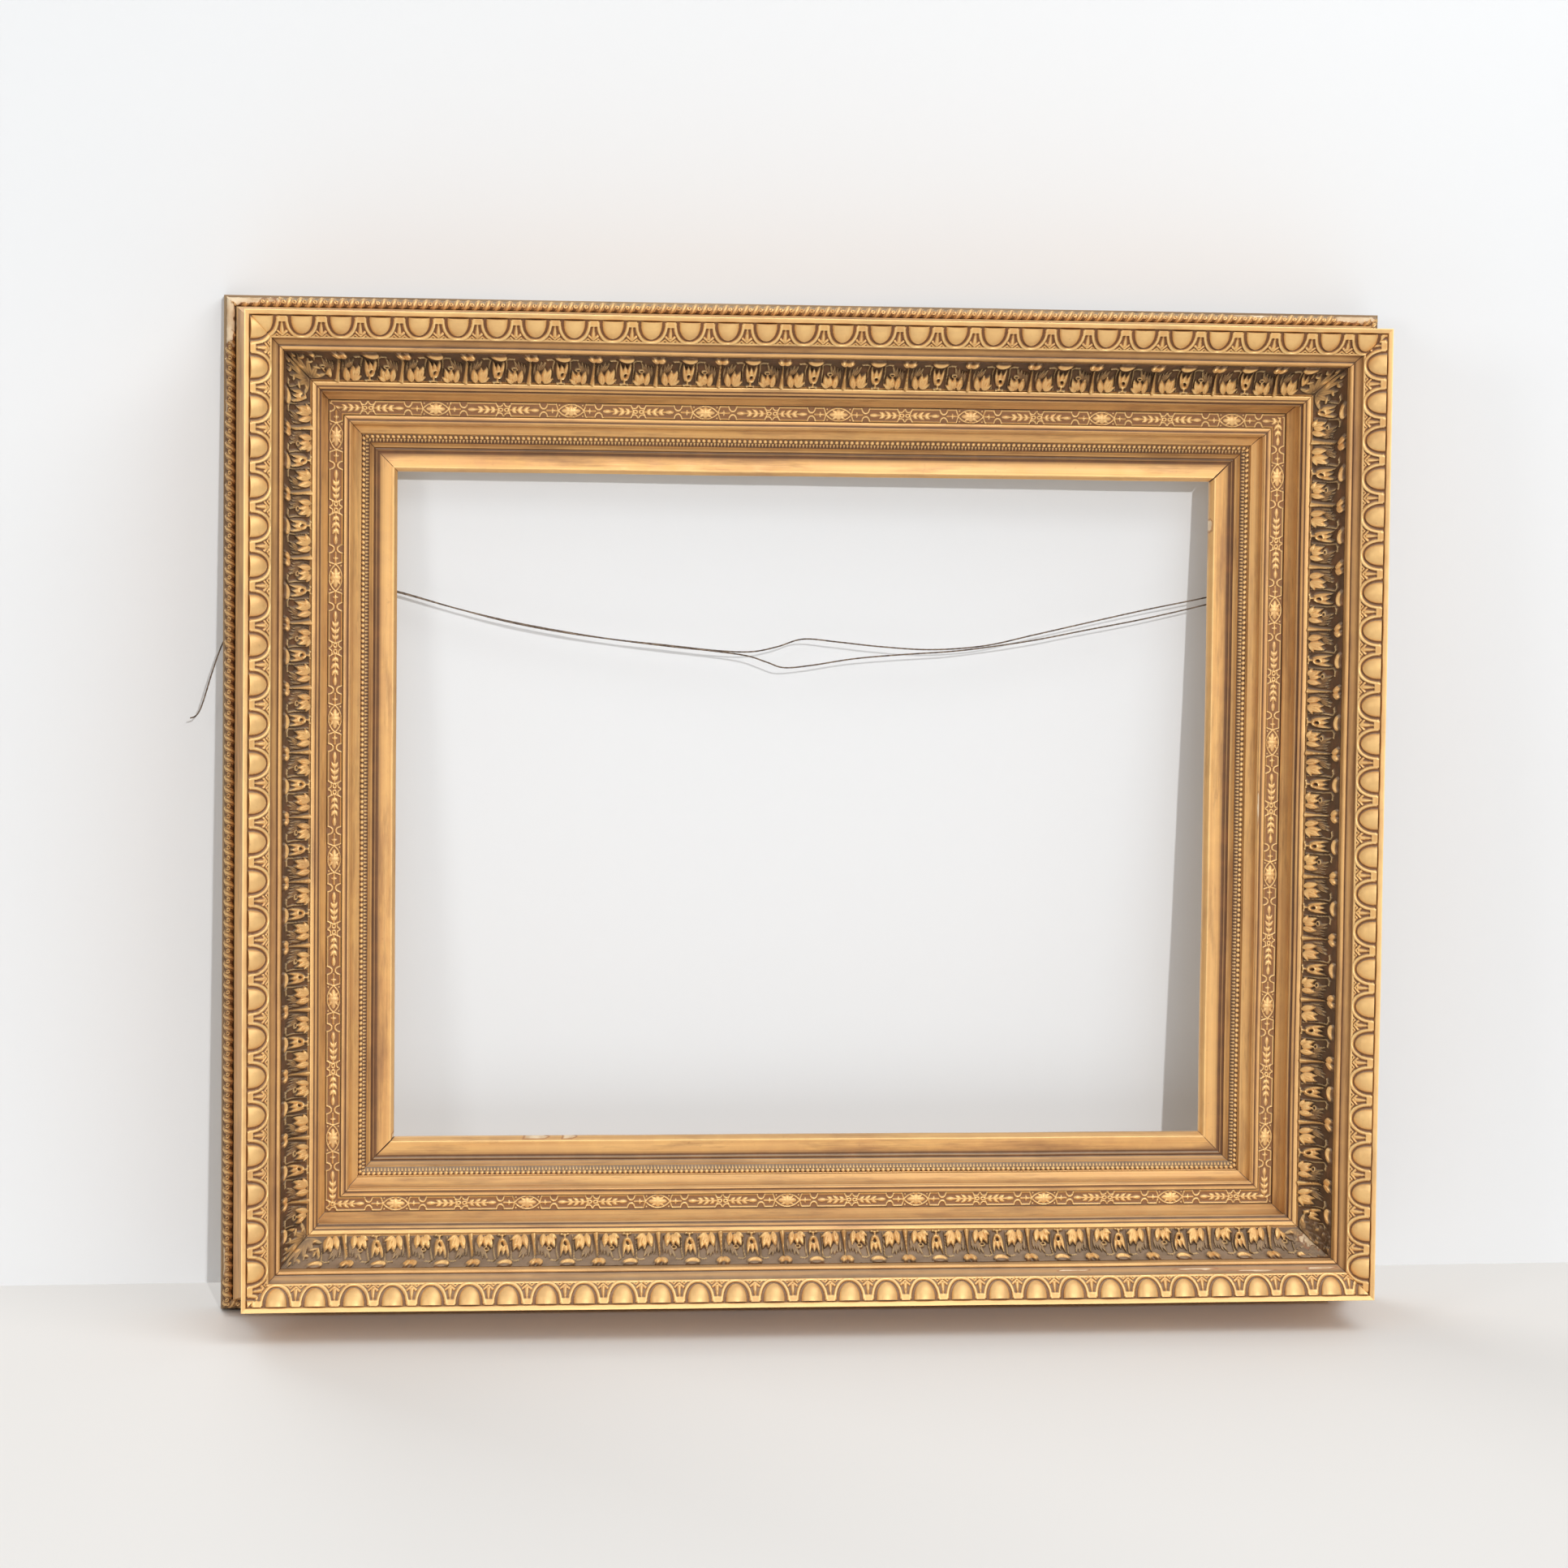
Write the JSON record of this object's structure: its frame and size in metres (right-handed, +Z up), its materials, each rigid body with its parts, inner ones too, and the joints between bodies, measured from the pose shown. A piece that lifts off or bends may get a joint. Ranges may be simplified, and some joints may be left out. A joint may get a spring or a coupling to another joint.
{
  "type": "picture frame",
  "caption": "Deep gilt picture frame with ornamented mouldings, a loose inner slip, brass turn buttons on the back and a steel hanging wire.",
  "frame": {"origin": "middle of the opening, in the plane of the wall that the back bears on", "axes": "+X to the right seen from the front, +Y into the wall (the front faces -Y), +Z up"},
  "size_m": [1.3633, 0.1975, 1.147],
  "materials": {
    "pine": "bare aged pine",
    "gilt_moulding": "worn matt gilding over gesso",
    "gilt_slip": "worn satin gilding over gesso",
    "gilt_ornament": "worn gilding over pressed composition",
    "steel": "dull zinc-coated steel",
    "brass": "tarnished brass"
  },
  "bodies": {
    "frame": {"back_rail_bottom": "pine", "back_rail_left": "pine", "back_rail_top": "pine", "back_rail_right": "pine", "outer_moulding_bottom": "gilt_moulding", "outer_moulding_left": "gilt_moulding", "outer_moulding_top": "gilt_moulding", "outer_moulding_right": "gilt_moulding", "ribbon_band_bottom": "gilt_ornament", "ribbon_band_left": "gilt_ornament", "ribbon_band_top": "gilt_ornament", "ribbon_band_right": "gilt_ornament", "egg_band_bottom": "gilt_ornament", "egg_band_left": "gilt_ornament", "egg_band_top": "gilt_ornament", "egg_band_right": "gilt_ornament", "leaf_band_bottom": "gilt_ornament", "leaf_band_left": "gilt_ornament", "leaf_band_top": "gilt_ornament", "leaf_band_right": "gilt_ornament", "inner_moulding_bottom": "gilt_moulding", "inner_moulding_left": "gilt_moulding", "inner_moulding_top": "gilt_moulding", "inner_moulding_right": "gilt_moulding", "frieze_band_bottom": "gilt_ornament", "frieze_band_left": "gilt_ornament", "frieze_band_top": "gilt_ornament", "frieze_band_right": "gilt_ornament", "slip_rail_bottom": "gilt_slip", "slip_rail_left": "gilt_slip", "slip_rail_top": "gilt_slip", "slip_rail_right": "gilt_slip", "bead_band_bottom": "gilt_ornament", "bead_band_left": "gilt_ornament", "bead_band_top": "gilt_ornament", "bead_band_right": "gilt_ornament", "corner_key_bottom_left": "pine", "corner_key_top_left": "pine", "corner_key_top_right": "pine", "corner_key_bottom_right": "pine", "moulding_screws": "steel", "slip_nails": "steel", "screw_eye_left": "steel", "screw_eye_right": "steel", "wire_upper": "steel", "wire_lower": "steel", "wire_tail": "steel", "turn_button_screws": "brass"},
    "button_bottom_a": {"turn_button_bottom_a": "brass"},
    "button_bottom_b": {"turn_button_bottom_b": "brass"},
    "button_left_a": {"turn_button_left_a": "brass"},
    "button_left_b": {"turn_button_left_b": "brass"},
    "button_top_a": {"turn_button_top_a": "brass"},
    "button_top_b": {"turn_button_top_b": "brass"},
    "button_right_a": {"turn_button_right_a": "brass"},
    "button_right_b": {"turn_button_right_b": "brass"}
  },
  "joints": [
    {"name": "turn_bottom_a", "type": "hinge", "parent": "frame", "child": "button_bottom_a", "pos_m": [-0.30498, -0.001, -0.4435], "axis": [0, 1, 0], "range_deg": [-90, 90]},
    {"name": "turn_bottom_b", "type": "hinge", "parent": "frame", "child": "button_bottom_b", "pos_m": [0.30498, -0.001, -0.4435], "axis": [0, 1, 0], "range_deg": [-90, 90]},
    {"name": "turn_left_a", "type": "hinge", "parent": "frame", "child": "button_left_a", "pos_m": [-0.533, -0.001, 0.26381], "axis": [0, 1, 0], "range_deg": [-90, 90]},
    {"name": "turn_left_b", "type": "hinge", "parent": "frame", "child": "button_left_b", "pos_m": [-0.533, -0.001, -0.26381], "axis": [0, 1, 0], "range_deg": [-90, 90]},
    {"name": "turn_top_a", "type": "hinge", "parent": "frame", "child": "button_top_a", "pos_m": [0.30498, -0.001, 0.4435], "axis": [0, 1, 0], "range_deg": [-90, 90]},
    {"name": "turn_top_b", "type": "hinge", "parent": "frame", "child": "button_top_b", "pos_m": [-0.30498, -0.001, 0.4435], "axis": [0, 1, 0], "range_deg": [-90, 90]},
    {"name": "turn_right_a", "type": "hinge", "parent": "frame", "child": "button_right_a", "pos_m": [0.533, -0.001, -0.26381], "axis": [0, 1, 0], "range_deg": [-90, 90]},
    {"name": "turn_right_b", "type": "hinge", "parent": "frame", "child": "button_right_b", "pos_m": [0.533, -0.001, 0.26381], "axis": [0, 1, 0], "range_deg": [-90, 90]}
  ]
}
